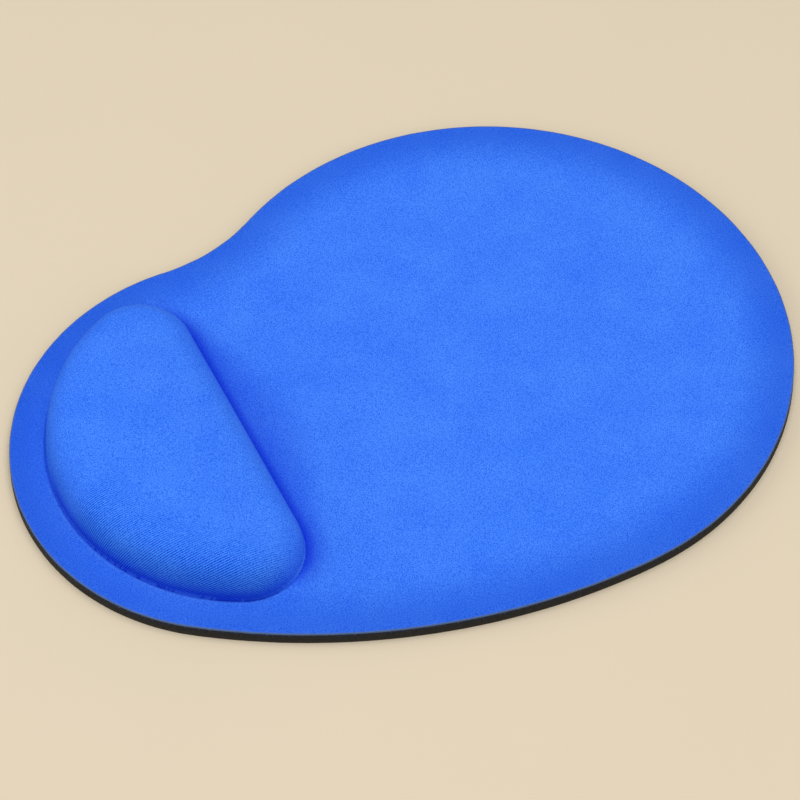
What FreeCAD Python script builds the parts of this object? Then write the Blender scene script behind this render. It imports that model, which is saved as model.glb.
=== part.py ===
import FreeCAD, Part
import math
import os

# Cloth-topped foam mouse mat with a raised wrist cushion, millimetres, +Z up.
# -Y is the wrist end, +Y the mouse end and +X the user's right.
# The origin is the middle of the mat's outline, on the desk.

Vector = FreeCAD.Vector

# Outline: a mouse circle and a smaller wrist circle, joined by a hollow waist
# on the left and by a long bulging flank on the right.
mouse_circle_radius = 88.0
wrist_circle_radius = 66.0
wrist_circle_offset_x = 4.0
wrist_circle_offset_y = 80.0
waist_radius = 55.0
flank_radius = 195.0

# Layers, from the desk upwards.
base_thickness = 3.4
core_glue_thickness = 0.1
bond_film_thickness = 0.15
cloth_thickness = 0.6

# Wrist cushion: a half disc whose round side follows the end of the mat. Its
# straight front runs through the wrist circle's centre, turned a little.
cushion_margin = 8.6
cushion_shift = 2.7
cushion_turn = 3.9
cushion_corner_radius = 15.5
core_height = 14.0
crown_radius_across = 600.0
crown_radius_along = 160.0
core_rim_radius = 8.0
wall_under_rim = 0.5
glue_inset = 4.0


def tangent_circle_centre(centre_a, reach_a, centre_b, reach_b, side):
    """The point at reach_a from centre_a and reach_b from centre_b, on the left (+1) or right (-1)
    of someone who walks from a to b."""
    line = centre_b - centre_a
    gap = line.Length
    along = (reach_a ** 2 - reach_b ** 2 + gap ** 2) / (2 * gap)
    away = math.sqrt(reach_a ** 2 - along ** 2)
    step = line.normalize()
    return centre_a + step * along + Vector(-step.y, step.x, 0) * (side * away)


def polar(centre, radius, direction):
    """Point on a circle in the direction of a vector."""
    unit = Vector(direction).normalize()
    return centre + unit * radius


def arc(start, middle, end):
    return Part.Arc(start, middle, end).toShape()


def outline_layout():
    """Centres of the four outline circles about the middle of the outline's box."""
    mouse = Vector(0, 0, 0)
    wrist = Vector(wrist_circle_offset_x, -wrist_circle_offset_y, 0)
    waist = tangent_circle_centre(
        mouse, mouse_circle_radius + waist_radius,
        wrist, wrist_circle_radius + waist_radius, -1)
    flank = tangent_circle_centre(
        mouse, flank_radius - mouse_circle_radius,
        wrist, flank_radius - wrist_circle_radius, -1)
    box = outline_wire(mouse, wrist, waist, flank).BoundBox
    middle = Vector(box.Center.x, box.Center.y, 0)
    return mouse - middle, wrist - middle, waist - middle, flank - middle


def outline_wire(mouse, wrist, waist, flank):
    """The mat's edge as four tangent arcs."""
    mouse_at_waist = polar(mouse, mouse_circle_radius, waist - mouse)
    wrist_at_waist = polar(wrist, wrist_circle_radius, waist - wrist)
    mouse_at_flank = polar(mouse, mouse_circle_radius, mouse - flank)
    wrist_at_flank = polar(wrist, wrist_circle_radius, wrist - flank)
    waist_middle = polar(waist, waist_radius, mouse_at_waist + wrist_at_waist - waist * 2)
    flank_middle = polar(flank, flank_radius, mouse_at_flank + wrist_at_flank - flank * 2)
    mouse_far = polar(mouse, mouse_circle_radius, mouse - wrist)
    wrist_far = polar(wrist, wrist_circle_radius, wrist - mouse)
    return Part.Wire([
        arc(mouse_at_flank, mouse_far, mouse_at_waist),
        arc(mouse_at_waist, waist_middle, wrist_at_waist),
        arc(wrist_at_waist, wrist_far, wrist_at_flank),
        arc(wrist_at_flank, flank_middle, mouse_at_flank),
    ])


MOUSE, WRIST, WAIST, FLANK = outline_layout()
TURN = math.radians(cushion_turn)
FORWARD = Vector(-math.sin(TURN), math.cos(TURN), 0)
ASIDE = Vector(math.cos(TURN), math.sin(TURN), 0)
ROUND_CENTRE = WRIST + FORWARD * cushion_shift


def cushion_wire(growth):
    """The cushion's half disc, grown outwards all round."""
    radius = wrist_circle_radius - cushion_margin + growth
    corner = cushion_corner_radius + growth
    ahead = growth - corner
    beside = math.sqrt((radius - corner) ** 2 - (ahead - cushion_shift) ** 2)
    right = WRIST + FORWARD * ahead + ASIDE * beside
    left = WRIST + FORWARD * ahead - ASIDE * beside
    right_out = (right - ROUND_CENTRE).normalize()
    left_out = (left - ROUND_CENTRE).normalize()
    right_foot = right + right_out * corner
    left_foot = left + left_out * corner
    right_shoulder = right + FORWARD * corner
    left_shoulder = left + FORWARD * corner
    return Part.Wire([
        arc(left_foot, ROUND_CENTRE - FORWARD * radius, right_foot),
        arc(right_foot, polar(right, corner, right_out + FORWARD), right_shoulder),
        Part.LineSegment(right_shoulder, left_shoulder).toShape(),
        arc(left_shoulder, polar(left, corner, left_out + FORWARD), left_foot),
    ])


def slab(wire, bottom, thickness):
    """A flat layer with the given outline."""
    face = Part.Face(wire.translated(Vector(0, 0, bottom)))
    return face.extrude(Vector(0, 0, thickness))


def mat_layer(bottom, thickness):
    return slab(outline_wire(MOUSE, WRIST, WAIST, FLANK), bottom, thickness)


def crown(growth, top):
    """A ring-shaped block whose crest is the cushion's gently domed top."""
    block = Part.makeTorus(
        crown_radius_across - crown_radius_along, crown_radius_along + growth)
    block.rotate(Vector(0, 0, 0), Vector(1, 0, 0), 90)
    block.rotate(Vector(0, 0, 0), Vector(0, 0, 1), cushion_turn)
    back = cushion_shift - (wrist_circle_radius - cushion_margin)
    crest = WRIST + FORWARD * (back / 2)
    block.translate(crest + Vector(0, 0, top - crown_radius_across - growth))
    return block


def crowned_block(growth, bottom):
    """The half disc under its domed top, with a sharp rim, and the edges of that rim."""
    top = CORE_BOTTOM + core_height + growth
    block = slab(cushion_wire(growth), bottom, top - bottom)
    block = block.common(crown(growth, top)).Solids[0]
    rim = [edge for edge in block.Edges if edge.BoundBox.ZMin > bottom + wall_under_rim]
    return block, rim


def rim_rounding():
    """The core's rim radius, no more than its lowest wall has room for."""
    rim = crowned_block(0, CORE_BOTTOM)[1]
    lowest_wall = min(edge.BoundBox.ZMin for edge in rim) - CORE_BOTTOM
    return min(core_rim_radius, lowest_wall - wall_under_rim)


def dome(growth, bottom):
    """The cushion's form, grown outwards and upwards alike, standing on a height."""
    block, rim = crowned_block(growth, bottom)
    return block.makeFillet(RIM_ROUNDING + growth, rim)


CORE_BOTTOM = base_thickness + core_glue_thickness
RIM_ROUNDING = rim_rounding()


def base_sheet():
    return mat_layer(0, base_thickness)


def core_glue_patch():
    return slab(cushion_wire(-glue_inset), base_thickness, core_glue_thickness)


def wrist_core():
    return dome(0, CORE_BOTTOM)


def skin(bottom, thickness, inner_growth):
    """A layer over the mat and the cushion, of one thickness throughout."""
    flat = mat_layer(bottom, thickness)
    outer = dome(inner_growth + thickness, bottom)
    inner = dome(inner_growth, base_thickness)
    return flat.fuse(outer).cut(inner).removeSplitter().Solids[0]


def cloth_bond_film():
    return skin(base_thickness, bond_film_thickness, 0)


def cover_cloth():
    return skin(base_thickness + bond_film_thickness, cloth_thickness, bond_film_thickness)


os.makedirs("parts", exist_ok=True)
base_sheet().exportStep("parts/base_sheet.step")
core_glue_patch().exportStep("parts/core_glue_patch.step")
wrist_core().exportStep("parts/wrist_core.step")
cloth_bond_film().exportStep("parts/cloth_bond_film.step")
cover_cloth().exportStep("parts/cover_cloth.step")
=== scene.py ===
import math

import bpy
import numpy as np
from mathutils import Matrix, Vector
from mathutils.kdtree import KDTree


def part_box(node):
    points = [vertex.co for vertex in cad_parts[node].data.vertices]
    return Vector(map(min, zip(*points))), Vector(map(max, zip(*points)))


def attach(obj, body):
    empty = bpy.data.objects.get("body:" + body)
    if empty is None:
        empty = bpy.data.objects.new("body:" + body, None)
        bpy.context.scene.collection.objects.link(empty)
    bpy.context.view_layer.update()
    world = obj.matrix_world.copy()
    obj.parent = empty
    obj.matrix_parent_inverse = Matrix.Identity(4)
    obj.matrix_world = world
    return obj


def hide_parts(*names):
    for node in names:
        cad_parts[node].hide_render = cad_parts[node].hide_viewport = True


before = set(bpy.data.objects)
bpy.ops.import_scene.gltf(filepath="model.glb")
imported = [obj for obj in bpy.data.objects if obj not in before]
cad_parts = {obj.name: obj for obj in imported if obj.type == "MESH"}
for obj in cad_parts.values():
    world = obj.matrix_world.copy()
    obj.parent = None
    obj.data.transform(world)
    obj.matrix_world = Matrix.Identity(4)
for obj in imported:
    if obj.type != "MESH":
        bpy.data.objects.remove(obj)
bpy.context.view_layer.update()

# A cloth-topped foam mouse mat with a raised wrist cushion, in metres, as laid on a desk.
# +Y runs from the wrist end to the mouse end and +X is the user's right.

MM = 0.001

# The mat's outline and the cushion's half disc, as the design has them.
MOUSE_RADIUS = 88 * MM
WRIST_RADIUS = 66 * MM
WRIST_ASIDE = 4 * MM
WRIST_BACK = 80 * MM
WAIST_RADIUS = 55 * MM
FLANK_RADIUS = 195 * MM
CUSHION_RADIUS = 57.4 * MM
CUSHION_SHIFT = 2.7 * MM
CUSHION_TURN = math.radians(3.9)
CUSHION_CORNER = 15.5 * MM
CROWN_ACROSS = 600 * MM
CROWN_ALONG = 160 * MM

base_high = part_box("base_sheet")[1]
core_low, core_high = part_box("wrist_core")
cloth_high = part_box("cover_cloth")[1]
film_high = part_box("cloth_bond_film")[1]

BASE_TOP = base_high.z
CLOTH_THICKNESS = cloth_high.z - film_high.z
FILM_THICKNESS = film_high.z - core_high.z
CLOTH_TOP = BASE_TOP + FILM_THICKNESS + CLOTH_THICKNESS
DOME_TOP = cloth_high.z

# How the cloth and foam depart from the plain layers.
GROOVE_DEPTH = 0.35 * MM
GROOVE_WIDTH = 0.36 * MM
SOFT_GROOVE_WIDTH = 1.5 * MM
LIP_HEIGHT = 0.14 * MM
LIP_AT = 0.85 * MM
LIP_WIDTH = 0.38 * MM
ROLL_DROP = 0.2 * MM
ROLL_WIDTH = 10 * MM
CUT_ROUNDING = 0.22 * MM
STUD_HEIGHT = 0.3 * MM
STUD_CLEARANCE = 0.01 * MM
PRESS_DEPTH = 0.5 * MM
LAYER_GAP = 0.02 * MM
SKIRT_GAP = 0.04 * MM

FRAY = 0.07 * MM
CUT_RAGGEDNESS = 0.05 * MM
STUD_PITCH = 3.4 * MM
STUD_RADIUS = 1.25 * MM
STUD_MARGIN = 3.4 * MM
FIBRE_COUNT = 2600
FIBRE_LENGTH = 0.55 * MM
FIBRE_THICKNESS = 0.022 * MM
GLUE_INSET = 5 * MM

AROUND = 560
DOME_RINGS = 44


# ---------------------------------------------------------------- shapes

def smooth(low, high, x):
    """0 below low, 1 above high, and a smooth step between."""
    t = np.clip((np.asarray(x, float) - low) / (high - low), 0, 1)
    return t * t * (3 - 2 * t)


def arc_points(centre, radius, start, end, steps):
    """Points along an arc from one angle to another, without the last."""
    turn = np.linspace(start, end, steps, endpoint=False)
    return centre + radius * np.c_[np.cos(turn), np.sin(turn)]


def bearing(vector):
    return math.atan2(vector[1], vector[0])


def kissing_centre(a, reach_a, b, reach_b):
    """The point at reach_a from a and reach_b from b, on the right of the way from a to b."""
    line = b - a
    gap = np.hypot(*line)
    along = (reach_a ** 2 - reach_b ** 2 + gap ** 2) / (2 * gap)
    away = math.sqrt(reach_a ** 2 - along ** 2)
    unit = line / gap
    return a + unit * along + np.array([unit[1], -unit[0]]) * away


def mat_outline():
    """The mat's edge as a dense closed line, anticlockwise, and the middle of the wrist circle."""
    mouse = np.zeros(2)
    wrist = np.array([WRIST_ASIDE, -WRIST_BACK])
    waist = kissing_centre(mouse, MOUSE_RADIUS + WAIST_RADIUS, wrist, WRIST_RADIUS + WAIST_RADIUS)
    flank = kissing_centre(mouse, FLANK_RADIUS - MOUSE_RADIUS, wrist, FLANK_RADIUS - WRIST_RADIUS)
    mouse_flank, mouse_waist = bearing(mouse - flank), bearing(waist - mouse)
    wrist_flank, wrist_waist = bearing(wrist - flank), bearing(waist - wrist)
    full = 2 * math.pi
    line = np.vstack([
        arc_points(mouse, MOUSE_RADIUS, mouse_flank, mouse_waist % full, 1500),
        arc_points(waist, WAIST_RADIUS, bearing(mouse - waist), bearing(wrist - waist), 300),
        arc_points(wrist, WRIST_RADIUS, wrist_waist % full, wrist_flank % full, 1200),
        arc_points(flank, FLANK_RADIUS, wrist_flank, mouse_flank, 900),
    ])
    middle = (line.min(0) + line.max(0)) / 2
    return line - middle, wrist - middle


def cushion_outline(wrist, growth):
    """The half disc as a dense closed line, anticlockwise. Its straight side faces the mouse."""
    radius = CUSHION_RADIUS + growth
    corner = CUSHION_CORNER + growth
    round_centre = wrist + FORWARD * CUSHION_SHIFT
    ahead = growth - corner
    beside = math.sqrt((radius - corner) ** 2 - (ahead - CUSHION_SHIFT) ** 2)
    right = wrist + FORWARD * ahead + ASIDE * beside
    left = wrist + FORWARD * ahead - ASIDE * beside
    right_out = bearing(right - round_centre)
    left_out = bearing(left - round_centre) % (2 * math.pi)
    front_out = bearing(FORWARD)
    straight = np.linspace(right + FORWARD * corner, left + FORWARD * corner, 600, endpoint=False)
    return np.vstack([
        arc_points(right, corner, right_out, front_out, 200),
        straight,
        arc_points(left, corner, front_out, left_out, 200),
        arc_points(round_centre, radius, left_out, right_out + 2 * math.pi, 1400),
    ])


def outward(line):
    """Unit normals of a closed anticlockwise line."""
    along = np.roll(line, -1, 0) - np.roll(line, 1, 0)
    normal = np.c_[along[:, 1], -along[:, 0]]
    return normal / np.hypot(*normal.T)[:, None]


def seen_from(hub, line, turns):
    """Where rays from the hub at these angles cross a closed line, and the line's normals there."""
    arm = line - hub
    angle = np.unwrap(np.arctan2(arm[:, 1], arm[:, 0]))
    order = np.argsort(angle % (2 * math.pi))
    known = (angle % (2 * math.pi))[order]
    full = 2 * math.pi

    def at(values):
        return np.interp(turns % full, known, values[order], period=full)
    reach = at(np.hypot(*arm.T))
    normal = outward(line)
    normal = np.c_[at(normal[:, 0]), at(normal[:, 1])]
    place = hub + reach[:, None] * np.c_[np.cos(turns), np.sin(turns)]
    return place, normal / np.hypot(*normal.T)[:, None]


def even_turns(hub, lines, count):
    """Angles about the hub that share out the lengths of several closed lines evenly."""
    probe = np.linspace(0, 2 * math.pi, 4001)
    share = np.zeros(len(probe))
    for line in lines:
        place = seen_from(hub, line, probe)[0]
        run = np.r_[0, np.cumsum(np.hypot(*np.diff(place, axis=0).T))]
        share += run / run[-1]
    return np.interp(np.arange(count) / count, share / share[-1], probe)


def tree_for(line):
    tree = KDTree(len(line))
    for i, (x, y) in enumerate(line):
        tree.insert((x, y, 0), i)
    tree.balance()
    return tree


class Edge:
    """A closed line that tells how far points are outside it."""

    def __init__(self, line):
        self.line = line
        self.normal = outward(line)
        self.tree = tree_for(line)

    def outside(self, points):
        """Distances from the line, negative inside it."""
        nearest = np.array([self.tree.find((x, y, 0))[1] for x, y in points])
        return ((points - self.line[nearest]) * self.normal[nearest]).sum(1)


FORWARD = np.array([-math.sin(CUSHION_TURN), math.cos(CUSHION_TURN)])
ASIDE = np.array([math.cos(CUSHION_TURN), math.sin(CUSHION_TURN)])
MAT_LINE, WRIST = mat_outline()
CUSHION_LINE = cushion_outline(WRIST, CLOTH_THICKNESS + FILM_THICKNESS)
HUB = WRIST + FORWARD * (CUSHION_SHIFT - CUSHION_RADIUS) / 2
MAT_EDGE = Edge(MAT_LINE)
CUSHION_EDGE = Edge(CUSHION_LINE)
TURNS = even_turns(HUB, [MAT_LINE, CUSHION_LINE], AROUND)
FOOT, FOOT_OUT = seen_from(HUB, CUSHION_LINE, TURNS)
RIM, RIM_OUT = seen_from(HUB, MAT_LINE, TURNS)


def straight_share(points):
    """1 on the mouse side of the cushion, 0 on its round side."""
    return smooth(-12 * MM, 0, (points - WRIST) @ FORWARD)


def rim_roll(points):
    """How far the mat's face rolls down towards its cut edge."""
    from_rim = np.maximum(-MAT_EDGE.outside(points), 0)
    return ROLL_DROP * np.clip(1 - from_rim / ROLL_WIDTH, 0, 1) ** 2


def field_height(points):
    """How far the cloth on the flat of the mat stands off its plain height."""
    from_foot = np.maximum(CUSHION_EDGE.outside(points), 0)
    straight = straight_share(points)
    width = GROOVE_WIDTH + (SOFT_GROOVE_WIDTH - GROOVE_WIDTH) * straight
    groove = GROOVE_DEPTH * np.exp(-(from_foot / width) ** 2)
    lip = LIP_HEIGHT * (1 - 0.7 * straight) * np.exp(-((from_foot - LIP_AT) / LIP_WIDTH) ** 2)
    return lip - groove - rim_roll(points)


# ---------------------------------------------------------------- the cushion's dome

ROLL_ACROSS = 8.5 * MM
ROLL_FULLNESS = 3.0
ROLL_STEPS = 0.55


def dome_grid(foot, foot_out, climb, height):
    """The dome as rings from the foot up: a rolled rim, then a crowned top. Rings x turns x 3."""
    arm = foot - HUB
    roll = ROLL_ACROSS / (arm * foot_out).sum(1)
    rings = []
    for step in climb:
        theta = math.pi / 2 * min(step / ROLL_STEPS, 1)
        inner = max(step - ROLL_STEPS, 0) / (1 - ROLL_STEPS)
        inset = 1 - max(math.cos(theta), 0) ** (2 / ROLL_FULLNESS)
        share = 1 - roll * inset - (1 - roll) * inner ** 1.3
        flat = HUB + share[:, None] * arm
        drop = ((flat - HUB) @ ASIDE) ** 2 / (2 * CROWN_ACROSS)
        drop = drop + ((flat - HUB) @ FORWARD) ** 2 / (2 * CROWN_ALONG)
        rings.append(np.c_[flat, (height - drop) * math.sin(theta) ** (2 / ROLL_FULLNESS)])
    return np.array(rings)


def climb_steps(count):
    """Steps from the foot, 0, to just short of the crest, 1."""
    return np.arange(count) / count


def ring_faces(rings, around, closed_top=None):
    """Quads between successive rings, and triangles to a last single vertex."""
    faces = []
    for r in range(rings - 1):
        for i in range(around):
            j = (i + 1) % around
            faces.append((r * around + i, r * around + j, (r + 1) * around + j, (r + 1) * around + i))
    if closed_top is not None:
        last = (rings - 1) * around
        faces += [(last + i, last + (i + 1) % around, closed_top) for i in range(around)]
    return faces


def make_mesh(name, points, faces):
    mesh = bpy.data.meshes.new(name)
    mesh.from_pydata([tuple(p) for p in points], [], faces)
    mesh.update()
    return mesh


def make_object(name, mesh):
    made = bpy.data.objects.new(name, mesh)
    bpy.context.scene.collection.objects.link(made)
    return made


SWELL_START = 0.97
SWELL_AROUND = 96
SWELL_RINGS = 16
SWELL_SCALE = 12
SWELL_FRAMES = 20
SWELL_CAP = 0.5 * MM
SWELL_WAVES = 7


def cloth_swell():
    """How far pressure moves a stretched cloth dome from its start, as rings x turns x 3, and at its crest.

    The trial is made SWELL_SCALE times too large, because the solver's own lengths suit larger things.
    """
    turns = even_turns(HUB, [CUSHION_LINE], SWELL_AROUND)
    foot, foot_out = seen_from(HUB, CUSHION_LINE, turns)
    start_height = SWELL_START * (DOME_TOP - CLOTH_TOP)
    grid = dome_grid(foot, foot_out, climb_steps(SWELL_RINGS), start_height)
    middle = np.array([*HUB, 0])
    points = np.vstack([grid.reshape(-1, 3), [*HUB, start_height]]) - middle
    faces = ring_faces(SWELL_RINGS, SWELL_AROUND, len(points) - 1)
    trial = make_object("swell_trial", make_mesh("swell_trial", points * SWELL_SCALE, faces))
    pinned = trial.vertex_groups.new(name="foot")
    pinned.add(list(range(SWELL_AROUND)), 1.0, "REPLACE")
    press = trial.modifiers.new("press", "CLOTH")
    press.settings.quality = 8
    press.settings.mass = 0.3
    press.settings.tension_stiffness = 12
    press.settings.compression_stiffness = 12
    press.settings.shear_stiffness = 6
    press.settings.bending_stiffness = 2
    press.settings.vertex_group_mass = "foot"
    press.settings.use_pressure = True
    press.settings.uniform_pressure_force = 4
    press.settings.effector_weights.gravity = 0
    press.collision_settings.use_collision = False
    press.point_cache.frame_end = SWELL_FRAMES
    scene = bpy.context.scene
    for step in range(1, SWELL_FRAMES + 1):
        scene.frame_set(step)
    pressed = trial.evaluated_get(bpy.context.evaluated_depsgraph_get())
    after = np.array([v.co for v in pressed.data.vertices]) / SWELL_SCALE
    bpy.data.objects.remove(trial)
    scene.frame_set(1)
    move = after - points
    length = np.linalg.norm(move, axis=1)
    move *= (np.minimum(length, SWELL_CAP) / np.maximum(length, 1e-9))[:, None]
    waves = np.fft.rfft(move[:-1].reshape(SWELL_RINGS, SWELL_AROUND, 3), axis=1)
    waves *= np.exp(-(np.arange(waves.shape[1]) / SWELL_WAVES) ** 2)[:, None]
    broad = np.fft.irfft(waves, SWELL_AROUND, axis=1)
    for _ in range(2):
        broad[1:-1] = (broad[:-2] + 2 * broad[1:-1] + broad[2:]) / 4
    broad[0] = 0
    return turns, broad, broad[-1].mean(0)


def smooth_between(at, known, values):
    """Values along a smooth curve through the known ones, along the first axis."""
    slope = np.gradient(values, known, axis=0)
    k = np.clip(np.searchsorted(known, at) - 1, 0, len(known) - 2)
    fit = (-1,) + (1,) * (values.ndim - 1)
    width = (known[k + 1] - known[k]).reshape(fit)
    t = (at - known[k]).reshape(fit) / width
    ends = (1 + 2 * t) * (1 - t) ** 2 * values[k] + t * t * (3 - 2 * t) * values[k + 1]
    return ends + width * (t * (1 - t) ** 2 * slope[k] + t * t * (t - 1) * slope[k + 1])


def dome_surface():
    """The cloth's outer face over the cushion: rings x AROUND x 3 from the foot up, and the crest."""
    climb = climb_steps(DOME_RINGS)
    start_height = SWELL_START * (DOME_TOP - CLOTH_TOP)
    grid = dome_grid(FOOT, FOOT_OUT, climb, start_height)
    crest = np.array([*HUB, start_height])
    turns, move, crest_move = cloth_swell()
    rings = np.concatenate([move, np.broadcast_to(crest_move, (1, SWELL_AROUND, 3))])
    by_climb = smooth_between(climb, np.r_[climb_steps(SWELL_RINGS), 1.0], rings)
    wrapped = np.r_[turns[-3:] - 2 * math.pi, turns, turns[:3] + 2 * math.pi]
    by_turn = np.concatenate([by_climb[:, -3:], by_climb, by_climb[:, :3]], 1)
    grid += np.moveaxis(smooth_between(TURNS, wrapped, np.moveaxis(by_turn, 1, 0)), 0, 1)
    crest += crest_move
    lift = (DOME_TOP - CLOTH_TOP) / max(grid[:, :, 2].max(), crest[2])
    crease_shaded = field_height(FOOT)
    rise = grid[:, :, 2] * lift
    top = DOME_TOP - CLOTH_TOP
    grid[:, :, 2] = CLOTH_TOP + rise + crease_shaded * (1 - rise / top)
    crest[2] = CLOTH_TOP + crest[2] * lift
    return grid, crest


def field_rings():
    """The cloth's outer face over the flat of the mat, rings from the rim to the foot, without the foot."""
    rim_bands = np.array([0.7, 1.4, 2.4, 3.6, 5.0]) * MM
    foot_bands = np.array([3.2, 2.5, 2.0, 1.6, 1.2, 0.9, 0.6, 0.3]) * MM
    between = np.linspace(0, 1, 18)[1:-1] ** 1.8
    last_rim = RIM - RIM_OUT * rim_bands[-1]
    first_foot = FOOT + FOOT_OUT * foot_bands[0]
    flats = [RIM - RIM_OUT * CUT_ROUNDING]
    flats += [RIM - RIM_OUT * band for band in rim_bands]
    flats += [last_rim + (first_foot - last_rim) * share for share in between]
    flats += [FOOT + FOOT_OUT * band for band in foot_bands]
    return np.array([np.c_[flat, CLOTH_TOP + field_height(flat)] for flat in flats])


def grid_normals(grid, crest):
    """Upward unit normals of a face given as rings from the rim to the crest."""
    around = np.roll(grid, -1, 1) - np.roll(grid, 1, 1)
    inner = np.concatenate([grid[1:], np.broadcast_to(crest, (1,) + grid.shape[1:])])
    outer = np.concatenate([grid[:1], grid[:-1]])
    normal = np.cross(around, inner - outer)
    normal /= np.linalg.norm(normal, axis=2)[:, :, None]
    return normal * np.sign(normal[:, :, 2].mean())


# The side of the cushion where the hollow at its foot is tightest, and where the painted shade at its foot
# and the painted highlight on the lip are strongest.
NEAR_SIDE = np.array([0.77, -0.64])
# The wrist end's far side, where the strip of mat beside the cushion is narrowest and the painted shade
# along the rim is strongest.
WRIST_SIDE = np.array([-0.6, -0.8])
# The side where the cloth is pulled tautest, so that its columns open.
TAUT_SIDE = np.array([0.927, -0.375])

DOME, CREST = dome_surface()
FIELD = field_rings()
TOP_FACE = np.concatenate([FIELD, DOME])
TOP_NORMAL = grid_normals(TOP_FACE, CREST)
FOOT_RING = len(FIELD)

# The rings that the hidden faces share, so that each layer lies along the next.
KEPT = np.array([0, 3, 6, 10, 14, 18, 21, 24, 27, 29, 30, *range(31, len(TOP_FACE), 3)])
OVER_MAT = KEPT[KEPT <= FOOT_RING]
OVER_CORE = KEPT[KEPT > FOOT_RING]


def under(depth):
    """The top face and its crest, moved down through the layers by a depth.

    The cushion's groove and lip die out within the cloth, so the layers below stay flat there.
    """
    field = FIELD.copy()
    plain = CLOTH_TOP - rim_roll(FIELD[:, :, :2].reshape(-1, 2)).reshape(FIELD.shape[:2])
    pressed = FIELD[:, :, 2] - plain
    field[:, :, 2] = plain + pressed * max(0, 1 - depth / PRESS_DEPTH) - depth
    dome = DOME - TOP_NORMAL[FOOT_RING:] * depth
    dome[:, :, 2] = np.maximum(dome[:, :, 2], CLOTH_TOP - depth)
    dome[0] = np.c_[FOOT - FOOT_OUT * depth, np.full(AROUND, CLOTH_TOP - depth)]
    return np.concatenate([field, dome]), CREST - np.array([0, 0, depth])


def closed_piece(name, rings, first, last):
    """A closed mesh through rings, with a single point at each end, facing outwards."""
    rings = np.asarray(rings)
    count, around = rings.shape[:2]
    points = np.vstack([rings.reshape(-1, 3), first, last])
    faces = ring_faces(count, around, len(points) - 1)
    faces += [((i + 1) % around, i, len(points) - 2) for i in range(around)]
    corners = np.array([f[:3] for f in faces] + [(f[0], f[2], f[3]) for f in faces if len(f) == 4])
    a, b, c = (points[corners[:, i]] for i in range(3))
    if np.einsum("ij,ij->i", a, np.cross(b, c)).sum() < 0:
        faces = [f[::-1] for f in faces]
    mesh = make_mesh(name, points, faces)
    mesh.shade_smooth()
    return make_object(name, mesh)


def finish_piece(piece, slot, *nodes):
    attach(piece, "root")
    if nodes:
        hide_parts(*nodes)
    return piece


# ---------------------------------------------------------------- pieces

def rim_wobble(seed, size):
    """A cut edge's small unevenness, one outward length for each turn."""
    steps = np.random.default_rng(seed).normal(0, 1, AROUND)
    spectrum = np.fft.rfft(steps)
    spectrum *= np.exp(-((np.arange(len(spectrum)) - 40) / 60.0) ** 2)
    wave = np.fft.irfft(spectrum, AROUND)
    return size * wave / np.abs(wave).max()


def make_cover_cloth():
    """The blue jersey, one sheet from cut edge to cut edge and over the cushion."""
    fray = rim_wobble(3, FRAY)
    rim_z = CLOTH_TOP + field_height(RIM)
    wall = []
    for out, down in ((-0.06, 0.05), (0.0, 0.2), (0.02, 0.4), (-0.02, 0.59)):
        flat = RIM + RIM_OUT * (out * MM + fray[:, None])
        wall.append(np.c_[flat, rim_z - down * MM])
    inner_face, inner_crest = under(CLOTH_THICKNESS)
    rings = np.concatenate([TOP_FACE[::-1], wall, inner_face[KEPT]])
    cover = closed_piece("cover_cloth_blue", rings, CREST, inner_crest)
    mesh = cover.data
    points = np.array([v.co for v in mesh.vertices])
    tops = len(TOP_FACE)
    cut = np.zeros(len(points))
    cut[tops * AROUND:(tops + len(wall)) * AROUND] = 1
    cut[(tops - 1) * AROUND:tops * AROUND] = 0.35
    write_attribute(mesh, "cut_edge", cut)
    flat = points[:, :2]
    from_rim = np.maximum(-MAT_EDGE.outside(flat), 0)
    from_foot = CUSHION_EDGE.outside(flat)
    towards = (flat - HUB) / np.hypot(*(flat - HUB).T).clip(MM)[:, None]
    # Painted shade along the mat's rim: the cloth's colour darkens towards the cut edge, most on the wrist
    # end's far side.
    wrist_side = smooth(0, 0.9, towards @ WRIST_SIDE)
    by_rim = 1 - smooth(1.5 * MM, 20 * MM, from_rim)
    write_attribute(mesh, "painted_rim_shade", (0.8 + 0.2 * wrist_side) * by_rim)
    tautest = 0.15 + 0.85 * smooth(0.62, 0.88, towards @ TAUT_SIDE)
    on_wall = np.clip(1 + from_foot / (18 * MM), 0, 1) ** 1.2 * (from_foot < 0)
    write_attribute(mesh, "stretch", tautest * on_wall * (1 - 0.8 * straight_share(flat)))
    # Painted shade where the cushion meets the mat: darker cloth on the mat beside the foot and low on the
    # cushion's wall, strongest on the near side.
    climbed = np.maximum(points[:, 2] - CLOTH_TOP, 0)
    straight = straight_share(flat)
    facing = smooth(0.3, 0.72, towards @ NEAR_SIDE)
    reach_out = (0.4 + 3.4 * straight) * MM
    beside = np.where(from_foot > 0, from_foot / reach_out, climbed / (3.8 * MM))
    outside_shade = 0.35 + 0.2 * facing + 0.65 * straight
    inside_shade = facing * (1 - 0.5 * straight)
    depth = np.where(from_foot > 0, outside_shade, inside_shade)
    write_attribute(mesh, "crease_shade", np.minimum(depth, 1) * np.exp(-beside ** 2))
    # Painted highlight on the raised lip beside the cushion's foot, on its near, round side.
    on_lip = np.exp(-((from_foot - LIP_AT) / LIP_WIDTH) ** 2)
    write_attribute(mesh, "lip", on_lip * facing * (1 - straight))
    write_flat_uv(mesh, points)
    return cover


def write_attribute(mesh, name, values):
    made = mesh.attributes.new(name, "FLOAT", "POINT")
    made.data.foreach_set("value", np.asarray(values, np.float32))


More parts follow.
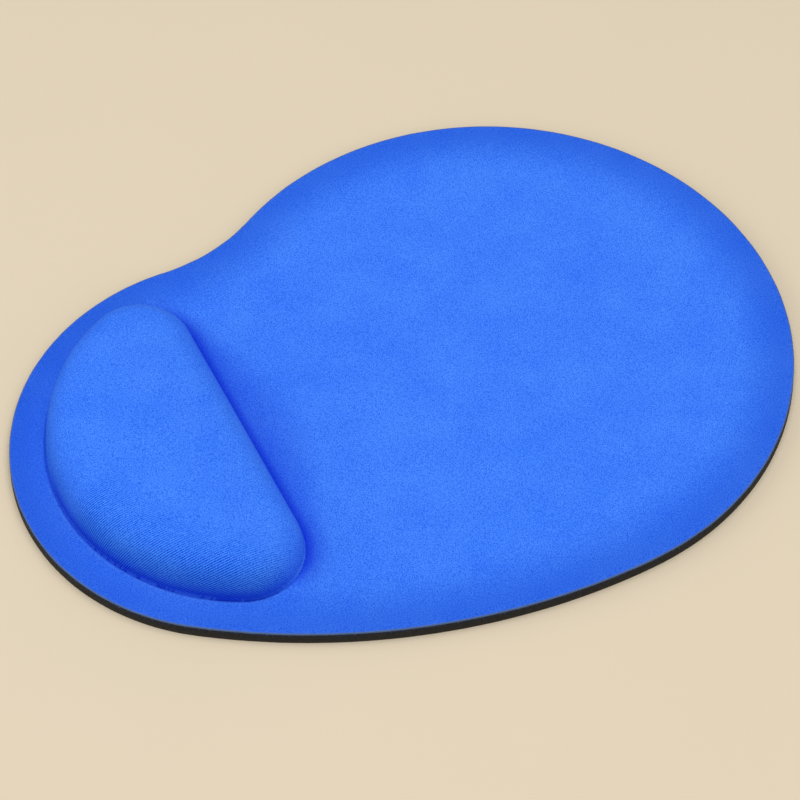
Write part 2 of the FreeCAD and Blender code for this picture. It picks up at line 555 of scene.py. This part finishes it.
def cloth_on_roll():
    """Where each point of the top face lies on the flat cloth, which wraps down the cushion's wall."""
    flat = TOP_FACE[:, :, :2].copy()
    dome = DOME[::-1]
    step = np.diff(np.concatenate([np.broadcast_to(CREST, (1,) + dome.shape[1:]), dome]), axis=0)
    spare = np.linalg.norm(step, axis=2) - np.linalg.norm(step[:, :, :2], axis=2)
    flat[FOOT_RING:] += (spare.cumsum(0)[:, :, None] * FOOT_OUT)[::-1]
    return flat


def write_flat_uv(mesh, points):
    """The cloth's place on the flat roll, in metres."""
    flat = points[:, :2].copy()
    tops = TOP_FACE.shape[0] * AROUND
    flat[:tops] = cloth_on_roll()[::-1].reshape(-1, 2)
    uv = mesh.uv_layers.new(name="flat_cloth")
    corner = np.zeros(len(mesh.loops), np.int32)
    mesh.loops.foreach_get("vertex_index", corner)
    uv.data.foreach_set("uv", flat[corner].astype(np.float32).ravel())


def make_bond_film():
    """The hot-melt film under the cloth."""
    upper, upper_crest = under(CLOTH_THICKNESS + LAYER_GAP)
    lower, lower_crest = under(CLOTH_THICKNESS + FILM_THICKNESS - LAYER_GAP)
    rings = np.concatenate([upper[KEPT][::-1], lower[KEPT]])
    return closed_piece("cloth_bond_film_milky", rings, upper_crest, lower_crest)


def make_wrist_core():
    """The moulded foam half disc under the cloth."""
    face, crest = under(CLOTH_THICKNESS + FILM_THICKNESS + LAYER_GAP)
    foot = face[FOOT_RING]
    above = face[OVER_CORE[0]]
    share = (core_low.z - foot[:, 2]) / (above[:, 2] - foot[:, 2])
    sole_edge = foot + (above - foot) * share[:, None]
    sole = sole_edge.copy()
    sole[:, :2] += (HUB - sole[:, :2]) * 0.02
    rings = np.concatenate([face[OVER_CORE][::-1], [sole_edge, sole]])
    return closed_piece("wrist_core_foam", rings, crest, [*HUB, core_low.z])


def make_glue_patch():
    """Brushed-on contact glue, thick at its wandering edge."""
    low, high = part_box("core_glue_patch")
    wander = 1.2 * MM * np.sin(5 * TURNS) + 0.8 * MM * np.sin(11 * TURNS + 1)
    wander = wander + 0.4 * MM * np.sin(23 * TURNS)
    edge = FOOT - FOOT_OUT * (GLUE_INSET + wander)[:, None]
    rings = []
    for share, height in ((0.1, 0.55), (0.35, 0.5), (0.6, 0.6), (0.8, 0.5), (0.93, 0.7), (0.98, 1.0)):
        flat = HUB + (edge - HUB) * share
        streak = 0.15 * np.sin(flat[:, 1] / (0.9 * MM) + 3 * np.sin(flat[:, 0] / (9 * MM)))
        z = low.z + (high.z - low.z) * np.clip(height + streak, 0.2, 0.9)
        rings.append(np.c_[flat, z])
    rings.append(np.c_[edge, np.full(AROUND, low.z)])
    middle = (low.z + high.z) / 2
    return closed_piece("core_glue_brushed", rings, [*HUB, middle], [*HUB, low.z])


def make_base_sheet():
    """The black foam sheet: die-cut wall, rounded by the cut, standing on its grip studs."""
    cut = rim_wobble(11, CUT_RAGGEDNESS)
    face_drop = CLOTH_THICKNESS + FILM_THICKNESS
    rim_top = CLOTH_TOP + field_height(RIM) - face_drop
    sole = STUD_HEIGHT
    inside = HUB + (FOOT - HUB) * 0.5
    bed = BASE_TOP - LAYER_GAP
    rings = [np.c_[inside, np.full(AROUND, bed)]]
    rings += list(under(face_drop + LAYER_GAP)[0][OVER_MAT][::-1])
    profile = (
        (0.02, 0.0), (-0.03, 0.04), (-0.10, 0.2), (-0.18, 0.4), (-0.25, 0.6), (-0.32, 0.8),
        (-0.36, 0.93), (-0.34, 0.985), (-0.2, 1.0), (2.2, 1.0))
    for inset, down in profile:
        ragged = cut * math.sin(math.pi * min(1, down * 1.05)) + np.roll(cut, 90) * 0.5 * down
        flat = RIM - RIM_OUT * (inset * MM + 0.06 * MM - ragged)[:, None]
        rings.append(np.c_[flat, rim_top + (SKIRT_GAP - rim_top) * down])
    rings.append(np.c_[RIM - RIM_OUT * 2.6 * MM, np.full(AROUND, sole)])
    for share in (0.9, 0.6, 0.3):
        flat = HUB + (RIM - HUB) * share
        rings.append(np.c_[flat, np.full(AROUND, sole)])
    return closed_piece("base_sheet_foam", rings, [*HUB, bed], [*HUB, sole])


# ---------------------------------------------------------------- Geometry Nodes

class Shapework:
    """A Geometry Nodes tree under construction, with named inputs."""

    def __init__(self, name, numbers):
        self.tree = bpy.data.node_groups.new(name, "GeometryNodeTree")
        face = self.tree.interface
        face.new_socket("Geometry", in_out="OUTPUT", socket_type="NodeSocketGeometry")
        face.new_socket("Geometry", in_out="INPUT", socket_type="NodeSocketGeometry")
        for label, value in numbers.items():
            kind = "NodeSocketInt" if isinstance(value, int) else "NodeSocketFloat"
            face.new_socket(label, in_out="INPUT", socket_type=kind)
        self.numbers = numbers
        self.given = self.node("NodeGroupInput")

    def node(self, kind, settings=None, inputs=None):
        made = self.tree.nodes.new(kind)
        for key, value in (settings or {}).items():
            setattr(made, key, value)
        for key, value in (inputs or {}).items():
            if isinstance(value, bpy.types.NodeSocket):
                self.tree.links.new(value, made.inputs[key])
            else:
                made.inputs[key].default_value = value
        return made

    def math(self, operation, a, b):
        return self.node("ShaderNodeMath", {"operation": operation}, {0: a, 1: b}).outputs[0]

    def number(self, label):
        return self.given.outputs[label]

    def grow(self, name, seed_mesh, material, result):
        """Ends the tree, runs it on a seed mesh and returns the plain result."""
        solid = self.node("GeometryNodeRealizeInstances", None, {0: result})
        painted = self.node("GeometryNodeSetMaterial", None, {
            "Geometry": solid.outputs[0], "Material": material})
        end = self.node("NodeGroupOutput")
        self.tree.links.new(painted.outputs[0], end.inputs[0])
        seed = make_object(name + "_seed", seed_mesh)
        modifier = seed.modifiers.new("grow", "NODES")
        modifier.node_group = self.tree
        for item in self.tree.interface.items_tree:
            if item.in_out == "INPUT" and item.name in self.numbers:
                modifier[item.identifier] = self.numbers[item.name]
        seed.update_tag()
        grown = seed.evaluated_get(bpy.context.evaluated_depsgraph_get())
        mesh = bpy.data.meshes.new_from_object(grown)
        mesh.name = name
        bpy.data.objects.remove(seed)
        return make_object(name, mesh)


def make_grip_studs(material):
    """Low six-sided studs in a honeycomb over the underside, clear of the rim."""
    work = Shapework("grip_honeycomb", {
        "Pitch": STUD_PITCH, "Stud radius": STUD_RADIUS, "Stud height": STUD_HEIGHT,
        "Clearance": STUD_CLEARANCE, "Columns": 58, "Rows": 86})
    column_gaps = work.math("SUBTRACT", work.number("Columns"), 1.0)
    row_gaps = work.math("SUBTRACT", work.number("Rows"), 1.0)
    row_pitch = work.math("MULTIPLY", work.number("Pitch"), math.sqrt(0.75))
    grid = work.node("GeometryNodeMeshGrid", None, {
        "Size X": work.math("MULTIPLY", work.number("Pitch"), column_gaps),
        "Size Y": work.math("MULTIPLY", row_pitch, row_gaps),
        "Vertices X": work.number("Columns"), "Vertices Y": work.number("Rows")})
    index = work.node("GeometryNodeInputIndex").outputs[0]
    row = work.math("MODULO", index, work.number("Rows"))
    odd = work.math("MODULO", row, 2.0)
    half_pitch = work.math("MULTIPLY", work.math("MULTIPLY", odd, 0.5), work.number("Pitch"))
    aside = work.node("ShaderNodeCombineXYZ", None, {0: half_pitch, 2: work.number("Stud height")})
    placed = work.node("GeometryNodeSetPosition", None, {
        "Geometry": grid.outputs[0], "Offset": aside.outputs[0]})
    aim = work.node("GeometryNodeRaycast", None, {
        "Target Geometry": work.given.outputs["Geometry"], "Ray Direction": (0, 0, 1), "Ray Length": 1.0})
    over = next(s for s in aim.outputs if s.name == "Is Hit")
    outside = work.node("FunctionNodeBooleanMath", {"operation": "NOT"}, {0: over}).outputs[0]
    kept = work.node("GeometryNodeDeleteGeometry", None, {
        "Geometry": placed.outputs[0], "Selection": outside})
    stud = work.node("GeometryNodeMeshCone", {"fill_type": "TRIANGLE_FAN"}, {
        "Vertices": 6, "Radius Top": work.math("MULTIPLY", work.number("Stud radius"), 0.8),
        "Radius Bottom": work.number("Stud radius"),
        "Depth": work.math("SUBTRACT", work.number("Stud height"), work.number("Clearance"))})
    hanging = work.node("GeometryNodeTransform", None, {
        "Geometry": stud.outputs[0], "Rotation": (math.pi, 0, math.pi / 6)})
    studs = work.node("GeometryNodeInstanceOnPoints", None, {
        "Points": kept.outputs[0], "Instance": hanging.outputs[0]})
    edge = (MAT_LINE - outward(MAT_LINE) * STUD_MARGIN)[::8]
    field = make_mesh("grip_field", np.c_[edge, np.full(len(edge), 0.01)], [tuple(range(len(edge)))])
    return work.grow("base_grip_studs", field, material, studs.outputs[0])


def make_edge_lint(material):
    """Short loose fibres along the cloth's cut edge."""
    work = Shapework("cut_edge_lint", {
        "Fibres": FIBRE_COUNT, "Fibre length": FIBRE_LENGTH,
        "Fibre thickness": FIBRE_THICKNESS, "Seed": 5})
    line = work.node("GeometryNodeMeshToCurve", None, {"Mesh": work.given.outputs["Geometry"]})
    spots = work.node("GeometryNodeCurveToPoints", {"mode": "COUNT"}, {
        "Curve": line.outputs[0], "Count": work.number("Fibres")})
    fibre_line = work.node("GeometryNodeCurveQuadraticBezier", None, {
        "Resolution": 3, "Start": (0, 0, 0), "Middle": (0.25, 0.5, 0.1), "End": (0.35, 1.0, -0.15)})
    fibre_ring = work.node("GeometryNodeCurvePrimitiveCircle", {"mode": "RADIUS"}, {
        "Resolution": 3,
        "Radius": work.math("DIVIDE", work.number("Fibre thickness"), work.number("Fibre length"))})
    fibre = work.node("GeometryNodeCurveToMesh", None, {
        "Curve": fibre_line.outputs[0], "Profile Curve": fibre_ring.outputs[0], "Fill Caps": True})
    seed = work.number("Seed")
    wander = work.node("FunctionNodeRandomValue", {"data_type": "FLOAT_VECTOR"}, {
        "Min": (-0.7, -0.5, -1.0), "Max": (1.1, 0.5, 1.0), "Seed": seed})
    turned = work.node("FunctionNodeRotateRotation", {"rotation_space": "LOCAL"}, {
        0: spots.outputs["Rotation"], 1: wander.outputs[0]})
    size = work.node("FunctionNodeRandomValue", {"data_type": "FLOAT"}, {
        2: 0.25, 3: 1.0, "Seed": work.math("ADD", seed, 1.0)})
    long = work.math("MULTIPLY", size.outputs[1], work.number("Fibre length"))
    fibres = work.node("GeometryNodeInstanceOnPoints", None, {
        "Points": spots.outputs[0], "Instance": fibre.outputs[0],
        "Rotation": turned.outputs[0], "Scale": long})
    place = RIM - RIM_OUT * 0.02 * MM
    z = CLOTH_TOP + field_height(RIM) - 0.3 * MM
    edge = bpy.data.meshes.new("cut_edge_line")
    links = [(i, (i + 1) % AROUND) for i in range(AROUND)]
    edge.from_pydata([tuple(p) for p in np.c_[place, z]], links, [])
    return work.grow("cloth_edge_lint", edge, material, fibres.outputs[0])


# ---------------------------------------------------------------- finishes

class Value:
    """A number in a shader, whose sums add Math nodes."""

    def __init__(self, finish, socket):
        self.finish = finish
        self.socket = socket

    def __add__(self, other):
        return self.finish.math("ADD", self, other)

    def __sub__(self, other):
        return self.finish.math("SUBTRACT", self, other)

    def __mul__(self, other):
        return self.finish.math("MULTIPLY", self, other)

    def __truediv__(self, other):
        return self.finish.math("DIVIDE", self, other)

    def __rsub__(self, other):
        return self.finish.math("SUBTRACT", other, self)

    __radd__ = __add__
    __rmul__ = __mul__


class Finish:
    """A material under construction."""

    def __init__(self, name, **constants):
        self.material = bpy.data.materials.new(name)
        self.material.use_nodes = True
        self.tree = self.material.node_tree
        self.tree.nodes.clear()
        named = {k.replace("_", " "): v for k, v in constants.items()}
        self.shader = self.node("BsdfPrincipled", None, named)
        output = self.node("OutputMaterial")
        self.tree.links.new(self.shader.outputs[0], output.inputs[0])

    def node(self, kind, settings=None, inputs=None):
        made = self.tree.nodes.new("ShaderNode" + kind)
        for key, value in (settings or {}).items():
            setattr(made, key, value)
        for key, value in (inputs or {}).items():
            self.feed(made.inputs[key], value)
        return made

    def feed(self, socket, value):
        if isinstance(value, Value):
            self.tree.links.new(value.socket, socket)
        elif isinstance(value, bpy.types.NodeSocket):
            self.tree.links.new(value, socket)
        else:
            socket.default_value = value

    def math(self, operation, a, b=0.0, c=0.0):
        made = self.node("Math", {"operation": operation}, {0: a, 1: b, 2: c})
        return Value(self, made.outputs[0])

    def value(self, made, output=0):
        return Value(self, made.outputs[output])

    def step(self, value, low, high):
        """0 to 1, smoothly, as a value goes from low to high."""
        made = self.node("MapRange", {"interpolation_type": "SMOOTHSTEP"}, {
            "Value": value, "From Min": low, "From Max": high})
        return self.value(made)

    def noise(self, place, scale, detail=2.0, roughness=0.5):
        made = self.node("TexNoise", None, {
            "Vector": place, "Scale": scale, "Detail": detail, "Roughness": roughness})
        return self.value(made, "Fac")

    def colour(self, factor, a, b):
        made = self.node("Mix", {"data_type": "RGBA"}, {0: factor, 6: a, 7: b})
        return made.outputs[2]

    def cells(self, place, scale):
        """Distances from the middles of scattered cells."""
        made = self.node("TexVoronoi", {"feature": "F1"}, {"Vector": place, "Scale": scale})
        return self.value(made, "Distance")

    def attribute(self, name):
        return self.value(self.node("Attribute", {"attribute_name": name}), "Fac")

    def here(self):
        return self.node("TexCoord").outputs["Object"]

    def bump(self, height, distance, strength=1.0):
        made = self.node("Bump", None, {"Height": height, "Distance": distance, "Strength": strength})
        self.feed(self.shader.inputs["Normal"], made.outputs[0])

    def paint(self, **values):
        for key, value in values.items():
            self.feed(self.shader.inputs[key.replace("_", " ")], value)
        return self.material


WALE_PITCH = 0.63 * MM
WALE_TURN = math.radians(4)
COURSE_PITCH = 0.5 * MM


def jersey_finish():
    """Fine blue jersey: columns of V stitches along the mat, opened where the cloth is stretched."""
    cloth = Finish("blue_jersey", Roughness=0.9, Sheen_Weight=0.03, Sheen_Roughness=0.5,
                   Sheen_Tint=(0.05, 0.25, 1.0, 1.0), Specular_IOR_Level=0.04)
    flat = cloth.node("UVMap", {"uv_map": "flat_cloth"}).outputs[0]
    turned = cloth.node("VectorRotate", {"rotation_type": "Z_AXIS"}, {"Vector": flat, "Angle": -WALE_TURN})
    place = cloth.node("SeparateXYZ", None, {0: turned.outputs[0]})
    across = cloth.value(place, 0) / WALE_PITCH
    along = cloth.value(place, 1) / COURSE_PITCH
    column = 0.5 - cloth.math("COSINE", across * (2 * math.pi)) * 0.5
    side = cloth.math("ABSOLUTE", cloth.math("FRACT", across) - 0.5)
    leg = cloth.math("COSINE", (along + side * 1.3) * (2 * math.pi)) * 0.5 + 0.5
    stitch = column * (leg * 0.35 + 0.65)
    here = cloth.here()
    fuzz = cloth.noise(here, 1 / (0.16 * MM), 3.0, 0.6)
    uneven = cloth.noise(here, 1 / (0.7 * MM), 2.0, 0.6)
    stretch = cloth.attribute("stretch")
    height = stitch * (stretch * 1.4 + 0.3) + fuzz * 0.5
    cloth.bump(height, 0.06 * MM, 0.9)
    mottle = cloth.noise(here, 1 / (0.34 * MM), 2.0, 0.75)
    cloudy = cloth.noise(here, 1 / (14 * MM), 2.0, 0.5)
    # Painted shade in the gaps between the stitch columns, strongest where the cloth is stretched.
    groove_shade = (1.0 - cloth.step(stitch, 0.1, 0.7)) * (stretch * (uneven * 1.4 + 0.6) + 0.05)
    groove_shade_blue = (0.0, 0.002, 0.68, 1)
    groove_shaded = cloth.colour(cloth.math("MINIMUM", groove_shade, 1.0), (0.036, 0.175, 0.94, 1), groove_shade_blue)
    # Painted highlight on the tops of the stitch columns where the cloth is stretched.
    ridge_highlight = cloth.step(stitch, 0.45, 0.9) * stretch
    light = cloth.step(mottle + cloudy * 0.25 - 0.125, 0.38, 0.64)
    speckled = cloth.colour(light * 0.52, groove_shaded, (0.095, 0.31, 1.0, 1))
    dark = cloth.step(mottle, 0.56, 0.33)
    shaded = cloth.colour(dark * (stretch * 0.2 + 0.56), speckled, (0.003, 0.07, 0.53, 1))
    lit = cloth.colour(ridge_highlight * 0.95, shaded, (0.045, 0.375, 1.0, 1))
    # Painted shade: the cloth's colour darkens towards the mat's rim.
    rim = cloth.attribute("painted_rim_shade")
    rim_shaded = cloth.colour(rim * 0.56, lit, (0.002, 0.042, 0.50, 1))
    # Painted shade where the cushion meets the mat.
    crease_shaded = cloth.colour(cloth.attribute("crease_shade") * 0.84, rim_shaded, (0.0, 0.012, 0.57, 1))
    # Painted highlight on the lip beside the cushion's foot.
    lip_highlighted = cloth.colour(cloth.attribute("lip") * 0.12, crease_shaded, (0.11, 0.34, 1.0, 1))
    whole = cloth.colour(cloth.attribute("cut_edge"), lip_highlighted, (0.09, 0.14, 0.24, 1))
    return cloth.paint(Base_Color=whole)


def foam_finish():
    """Black closed-cell foam, with the cut cells at its edge and painted warm light from the floor low down.
    """
    foam = Finish("black_closed_cell_foam", Roughness=0.8, Specular_IOR_Level=0.3)
    here = foam.here()
    cells = foam.cells(here, 1 / (0.33 * MM))
    grain = foam.noise(here, 1 / (0.9 * MM), 3.0, 0.6)
    foam.bump(cells * 0.7 + grain * 0.5, 0.12 * MM, 0.8)
    height = foam.value(foam.node("SeparateXYZ", None, {0: here}), 2)
    # Painted light: a warm brown glow low on the wall, as from light thrown up by the floor, mottled by the
    # grain.
    floor_bounce = (1.0 - foam.step(height, 0.1 * MM, 1.6 * MM)) * (grain * 0.9 + 0.2)
    # Darker and bluer towards the top of the wall, under the cloth.
    top_band = foam.step(height, BASE_TOP - 1.1 * MM, BASE_TOP - 0.25 * MM)
    plain = foam.colour(foam.step(grain, 0.35, 0.65), (0.0075, 0.0075, 0.008, 1), (0.017, 0.0165, 0.016, 1))
    bounce_lit = foam.colour(floor_bounce * 0.55, plain, (0.040, 0.032, 0.023, 1))
    blued = foam.colour(top_band * 0.85, bounce_lit, (0.006, 0.012, 0.035, 1))
    rubbed = (1.0 - foam.step(height, STUD_CLEARANCE * 1.5, SKIRT_GAP * 0.9)) * (grain + 0.3)
    tips = foam.colour(foam.math("MINIMUM", rubbed, 1.0), blued, (0.075, 0.072, 0.066, 1))
    return foam.paint(Base_Color=tips)


def cushion_foam_finish():
    """Pale moulded foam with a fine skin and small pores."""
    foam = Finish("cushion_foam_cream", Roughness=0.9, Specular_IOR_Level=0.2)
    here = foam.here()
    pores = foam.cells(here, 1 / (0.8 * MM))
    grain = foam.noise(here, 1 / (3 * MM), 4.0, 0.6)
    foam.bump(foam.step(pores, 0.1, 0.45) + grain * 0.3, 0.15 * MM, 0.7)
    tone = foam.colour(grain, (0.66, 0.60, 0.47, 1), (0.80, 0.76, 0.66, 1))
    # Painted shade in the pores: darker, browner colour where the cells open.
    pore_shaded = foam.colour((1.0 - foam.step(pores, 0.05, 0.3)) * 0.5, tone, (0.42, 0.36, 0.26, 1))
    return foam.paint(Base_Color=pore_shaded)


def film_finish():
    """Milky hot-melt film with the cloth's dye struck through in places."""
    film = Finish("hot_melt_film", Roughness=0.35, Specular_IOR_Level=0.5)
    cloudy = film.noise(film.here(), 1 / (5 * MM), 4.0, 0.6)
    film.bump(film.noise(film.here(), 1 / (0.6 * MM), 2.0, 0.5), 0.05 * MM, 0.6)
    tone = film.colour(film.step(cloudy, 0.35, 0.65), (0.55, 0.60, 0.68, 1), (0.36, 0.45, 0.66, 1))
    return film.paint(Base_Color=tone)


def glue_finish():
    """Dried amber contact glue."""
    glue = Finish("contact_glue_amber", Specular_IOR_Level=0.5, Coat_Weight=0.3)
    cloudy = glue.noise(glue.here(), 1 / (2.5 * MM), 3.0, 0.6)
    glue.bump(cloudy, 0.06 * MM, 0.6)
    tone = glue.colour(cloudy, (0.52, 0.36, 0.12, 1), (0.70, 0.56, 0.28, 1))
    return glue.paint(Base_Color=tone, Roughness=cloudy * 0.3 + 0.25)


def lint_finish():
    """Loose blue and greyed fibres."""
    lint = Finish("jersey_fibres", Roughness=0.8, Sheen_Weight=0.3)
    tone = lint.noise(lint.here(), 1 / (1.2 * MM), 1.0, 0.5)
    mixed = lint.colour(lint.step(tone, 0.42, 0.6), (0.03, 0.12, 0.60, 1), (0.12, 0.18, 0.34, 1))
    return lint.paint(Base_Color=mixed)


def floor_finish():
    """Plain warm pale paper."""
    paper = Finish("pale_floor", Roughness=0.95, Specular_IOR_Level=0.1)
    tone = paper.noise(paper.here(), 1 / (60 * MM), 3.0, 0.5)
    return paper.paint(Base_Color=paper.colour(tone * 0.5, (0.675, 0.585, 0.445, 1), (0.705, 0.61, 0.47, 1)))


# ---------------------------------------------------------------- assembly

BLACK_FOAM = foam_finish()


def dress(piece, material):
    piece.data.materials.clear()
    piece.data.materials.append(material)
    return piece


def outline_area(line):
    after = np.roll(line, -1, 0)
    return abs((line[:, 0] * after[:, 1] - line[:, 1] * after[:, 0]).sum()) / 2


base = finish_piece(dress(make_base_sheet(), BLACK_FOAM), "black_foam", "base_sheet")
studs = finish_piece(make_grip_studs(BLACK_FOAM), "black_foam")
glue = finish_piece(dress(make_glue_patch(), glue_finish()), "glue", "core_glue_patch")
core = finish_piece(dress(make_wrist_core(), cushion_foam_finish()), "cushion_foam", "wrist_core")
film = finish_piece(dress(make_bond_film(), film_finish()), "bond_film", "cloth_bond_film")
cover = finish_piece(dress(make_cover_cloth(), jersey_finish()), "blue_jersey", "cover_cloth")
lint = finish_piece(make_edge_lint(lint_finish()), "blue_jersey")

mat_size = MAT_LINE.max(0) - MAT_LINE.min(0)
float(outline_area(MAT_LINE))


# ---------------------------------------------------------------- floor, light and camera

FLOOR_SIZE = 4.0
floor = make_object("floor", make_mesh("floor", [
    (-FLOOR_SIZE, -FLOOR_SIZE, 0), (FLOOR_SIZE, -FLOOR_SIZE, 0),
    (FLOOR_SIZE, FLOOR_SIZE, 0), (-FLOOR_SIZE, FLOOR_SIZE, 0)], [(0, 1, 2, 3)]))
dress(floor, floor_finish())


def area_light(name, place, aim, size, power, colour):
    lamp = bpy.data.lights.new(name, "AREA")
    lamp.shape = "DISK"
    lamp.size = size
    lamp.energy = power
    lamp.color = colour
    holder = bpy.data.objects.new(name, lamp)
    bpy.context.scene.collection.objects.link(holder)
    holder.location = place
    holder.rotation_mode = "QUATERNION"
    holder.rotation_quaternion = (Vector(aim) - Vector(place)).to_track_quat("-Z", "Y")
    return holder


area_light("overhead_softbox", (0.0, 0.08, 1.1), (0, 0, 0), 1.0, 6.6, (1.0, 0.99, 0.97))
area_light("front_softbox", (0.9, -0.2, 0.9), (0, 0, 0), 0.9, 3.4, (1.0, 0.98, 0.96))
area_light("wrist_side_softbox", (-0.35, -0.95, 0.45), (0, 0, 0), 0.9, 3.0, (1.0, 0.99, 0.98))

world = bpy.data.worlds.new("studio")
world.use_nodes = True
world.node_tree.nodes["Background"].inputs["Color"].default_value = (1.0, 0.99, 0.97, 1)
world.node_tree.nodes["Background"].inputs["Strength"].default_value = 0.46
bpy.context.scene.world = world
bpy.context.scene.view_settings.view_transform = "Standard"

CAMERA_TURN = math.radians(67.7)
CAMERA_RISE = math.radians(52.0)
CAMERA_AWAY = 0.6967
CAMERA_AIM = Vector((6.7 * MM, -3.5 * MM, 0))
camera_data = bpy.data.cameras.new("camera")
camera_data.sensor_width = 36
camera_data.lens = 108
camera_data.clip_start = 0.01
camera = bpy.data.objects.new("camera", camera_data)
bpy.context.scene.collection.objects.link(camera)
back = Vector((math.sin(CAMERA_TURN) * math.cos(CAMERA_RISE),
               -math.cos(CAMERA_TURN) * math.cos(CAMERA_RISE), math.sin(CAMERA_RISE)))
camera.location = CAMERA_AIM + back * CAMERA_AWAY
camera.rotation_mode = "QUATERNION"
camera.rotation_quaternion = (-back).to_track_quat("-Z", "Y")
bpy.context.scene.camera = camera

bpy.context.view_layer.update()
